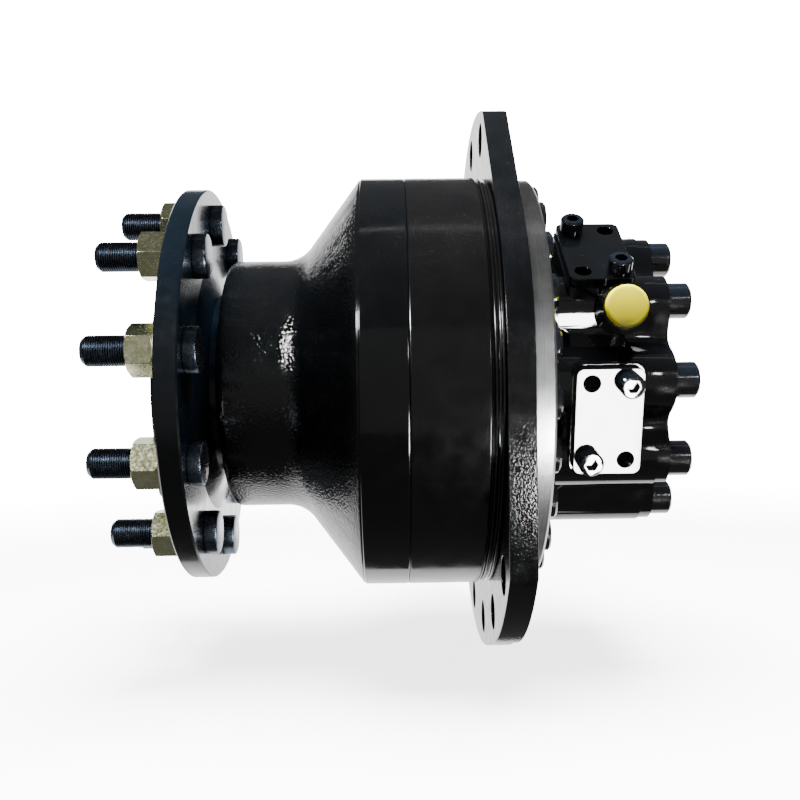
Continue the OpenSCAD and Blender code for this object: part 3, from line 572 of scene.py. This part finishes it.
# node, the name of the piece that stands for it, its body, its edges' radius in millimetres, the
# least angle of an edge that gets one, and the angle up to which it is shaded smooth
ROUNDED_PIECES = (
    ("distributor_cover", "cast_cover", "motor_case", 0.8, 42, 40),
    ("mounting_plate", "burnt_plate", "motor_case", 0.6, 50, 35),
    ("bearing_housing", "turned_bearing_housing", "motor_case", 0.5, 40, 35),
    ("cam_ring", "turned_cam_ring", "motor_case", 0.5, 40, 35),
    ("spacer_ring", "turned_spacer_ring", "motor_case", 0.5, 40, 35),
    ("port_plates", "blanking_plates", "motor_case", 0.6, 50, 35),
    ("cover_screws", "sprayed_cover_screws", "motor_case", 0.5, 30, 35),
    ("port_screws", "sprayed_port_screws", "motor_case", 0.5, 30, 35),
    ("stack_screws", "sprayed_stack_screws", "motor_case", 0.5, 30, 35),
    ("wheel_nuts", "forged_nuts", "wheel_shaft", 0.45, 25, 30),
    ("drain_cap", "moulded_drain_cap", "motor_case", 0.4, 40, 35),
)


def make_rounded_pieces():
    """The painted pieces, nuts and cap again, with the small radii that their edges have."""
    for node, name, body, radius, sharp, soft in ROUNDED_PIECES:
        dress(rounded_copy(node, name, radius * MM, sharp, soft), body, slot_of[node])


def thread_cutter(name, start, turns, radius, depth, pitch):
    """The V groove of a thread along +X: a triangle wound round the axis."""
    root, rim = radius - depth, radius + GROOVE_RISE * depth
    half = GROOVE_HALF * pitch
    tool = profile(name, [(start - half, 0, rim), (start, 0, root), (start + half, 0, rim)])
    bpy.ops.object.mode_set(mode="EDIT")
    bpy.ops.mesh.select_all(action="SELECT")
    bpy.ops.mesh.edge_face_add()
    bpy.ops.mesh.delete(type="ONLY_FACE")
    bpy.ops.object.mode_set(mode="OBJECT")
    apply_modifier(
        tool,
        "SCREW",
        axis="X",
        screw_offset=pitch,
        iterations=turns,
        steps=THREAD_STEPS,
        render_steps=THREAD_STEPS,
        use_merge_vertices=False,
    )
    only(tool)
    bpy.ops.object.mode_set(mode="EDIT")
    bpy.ops.mesh.select_all(action="DESELECT")
    bpy.ops.mesh.select_mode(type="EDGE")
    bpy.ops.mesh.select_non_manifold()
    bpy.ops.mesh.fill()
    bpy.ops.mesh.select_all(action="SELECT")
    bpy.ops.mesh.normals_make_consistent(inside=False)
    bpy.ops.object.mode_set(mode="OBJECT")
    return tool


def make_studs():
    """Wheel studs with a cut thread, a chamfered tip and a round, crowned head."""
    head_back = FLANGE_BACK + STUD_HEAD_HEIGHT
    stud = turned("stud_blank", [
        (STUD_TIP, 0),
        *((STUD_TIP + along, STUD_RADIUS - inward) for along, inward in TIP_CHAMFER),
        (NUT_FRONT, STUD_RADIUS),
        (NUT_FRONT, SHANK_RADIUS),
        (FLANGE_BACK, SHANK_RADIUS),
        (FLANGE_BACK, STUD_HEAD_RADIUS - STUD_HEAD_FOOT),
        (FLANGE_BACK + STUD_HEAD_FOOT, STUD_HEAD_RADIUS),
        *((head_back - along, STUD_HEAD_RADIUS - inward) for along, inward in HEAD_CROWN),
        (head_back, 0),
    ])
    groove_start = STUD_TIP - THREAD_PITCH
    groove = (groove_start, THREAD_TURNS, STUD_RADIUS, THREAD_DEPTH, THREAD_PITCH)
    cut_away(stud, thread_cutter("thread_tool", *groove))
    smooth(stud, STUD_SOFT)
    # the head was sprayed with the flange
    for face in stud.data.polygons:
        face.material_index = 1 if face.center.x > FLANGE_BACK - 0.1 * MM else 0
    for i in range(STUD_COUNT):
        turn = STUD_TURN + i * 2 * math.pi / STUD_COUNT
        place = (0, -STUD_CIRCLE * math.cos(turn), STUD_CIRCLE * math.sin(turn))
        copy = placed_copy(stud, f"wheel_stud_{i + 1}", Matrix.Translation(place))
        dress(copy, "wheel_shaft", "black_oxide_stud", "satin_black_paint")
        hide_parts("wheel_studs")
    bpy.data.objects.remove(stud)


# studio


def painted_glow_sweep(name, code):
    """Matt white sweep whose painted glow stands in for its light, brighter on its wall than on
    its floor, as a lit cyclorama looks.
    """
    material, tree, shader, place = new_material(name)
    shader.inputs["Base Color"].default_value = linear(code)
    shader.inputs["Roughness"].default_value = SWEEP_ROUGHNESS
    shader.inputs["Emission Color"].default_value = (1, 1, 1, 1)
    # painted glow: dim on the floor round the motor, where its shadow from the ceiling box falls,
    # and bright on the wall
    distance = length(tree, place)
    glow = spread(tree, distance, FLOOR_GLOW, WALL_GLOW, FLOOR_ENDS, WALL_STARTS)
    tree.links.new(glow, shader.inputs["Emission Strength"])
    return material


def make_sweep():
    """A round floor that curves up into a wall on every side."""
    deselect_all()
    middle = (0, 0, cad_low.z - SWEEP_DROP)
    bpy.ops.mesh.primitive_circle_add(
        vertices=SWEEP_SIDES, radius=SWEEP_RADIUS, fill_type="NGON", location=middle
    )
    sweep = bpy.context.object
    sweep.name = "studio_sweep"
    bpy.ops.object.mode_set(mode="EDIT")
    bpy.ops.mesh.select_mode(type="EDGE")
    bpy.ops.mesh.select_all(action="DESELECT")
    bpy.ops.mesh.select_non_manifold()
    rise = {"value": (0, 0, SWEEP_HEIGHT)}
    bpy.ops.mesh.extrude_region_move(TRANSFORM_OT_translate=rise)
    bpy.ops.object.mode_set(mode="OBJECT")
    bend = {"width": SWEEP_CURVE, "segments": SWEEP_CURVE_STEPS, "limit_method": "ANGLE"}
    apply_modifier(sweep, "BEVEL", **bend)
    smooth(sweep, SWEEP_SOFT)
    sweep.data.materials.append(painted_glow_sweep("matt_white_sweep", "#ffffff"))
    # the paint is lit by the lamps alone, so that its dark side stays dark
    sweep.visible_glossy = sweep.visible_diffuse = sweep.visible_shadow = False


# soft boxes that only reflections see: the lit wall and the lit floor behind, a dark side where
# the camera stands, and the highlights. Name, size, place, the point it faces, and glow
REFLECTED_BOXES = (
    ("back_wall", (3.4, 1.2), (0, 1.5, 0.25), (0, 0, 0.25), 3),
    ("camera_side", (3.0, 1.6), (0, -1.6, 0), (0, 0, 0), 0.16),
    ("lit_floor", (1.6, 1.6), (-0.05, 0.78, LIT_FLOOR_HEIGHT), (-0.05, 0.78, 1), 2.4),
    ("ceiling_strip", (1.0, 0.05), (0.1, -0.12, 1.3), (0.1, -0.12, 0), 1.2),
    ("key_box", (0.22, 0.22), (-1.11, -0.99, 0.73), (-0.15, -0.09, 0.02), 300),
    ("right_box", (0.14, 0.14), (0.58, -1.16, 0.33), (0.12, -0.15, 0), 50),
    ("low_front_box", (0.075, 0.125), (0.125, -0.383, -0.19), (0.06, -0.11, -0.03), 150),
)
# the one lamp that lights the pieces and the floor, and throws their shadow; nothing mirrors it
CEILING_BOX = ("ceiling_box", (1.2, 1.2), (-0.05, -0.15, 1.6), (-0.05, -0.15, 0), 72)


def soft_light(name, size, place, target, glow, glossy=True, diffuse=True):
    """A rectangular soft box that faces a point and whose surface has a radiance of glow."""
    data = bpy.data.lights.new(name, "AREA")
    data.shape = "RECTANGLE"
    data.size, data.size_y = size
    data.energy = glow * math.pi * size[0] * size[1]
    lamp = bpy.data.objects.new(name, data)
    bpy.context.scene.collection.objects.link(lamp)
    lamp.location = place
    lamp.rotation_euler = (Vector(target) - Vector(place)).to_track_quat("-Z", "Y").to_euler()
    lamp.visible_camera = False
    lamp.visible_glossy = glossy
    lamp.visible_diffuse = diffuse


def make_studio():
    """A dim white room with the sweep and the soft boxes."""
    world = bpy.data.worlds.new("studio_room")
    bpy.context.scene.world = world
    world.use_nodes = True
    background = world.node_tree.nodes["Background"]
    background.inputs["Color"].default_value = (1, 1, 1, 1)
    background.inputs["Strength"].default_value = ROOM_GLOW
    make_sweep()
    soft_light(*CEILING_BOX, glossy=False)
    for box in REFLECTED_BOXES:
        soft_light(*box, diffuse=False)


def make_camera():
    """The camera of the photograph."""
    camera = bpy.data.objects.new("photo_camera", bpy.data.cameras.new("photo_camera"))
    bpy.context.scene.collection.objects.link(camera)
    camera.data.lens = CAMERA_LENS
    camera.data.sensor_width = CAMERA_SENSOR
    turn = Matrix((CAMERA_RIGHT, CAMERA_UP, -CAMERA_FORWARD)).transposed().to_4x4()
    camera.matrix_world = Matrix.Translation(CAMERA_PLACE) @ turn
    bpy.context.scene.camera = camera


finish_nodes()
make_studs()
make_rounded_pieces()
make_studio()
make_camera()
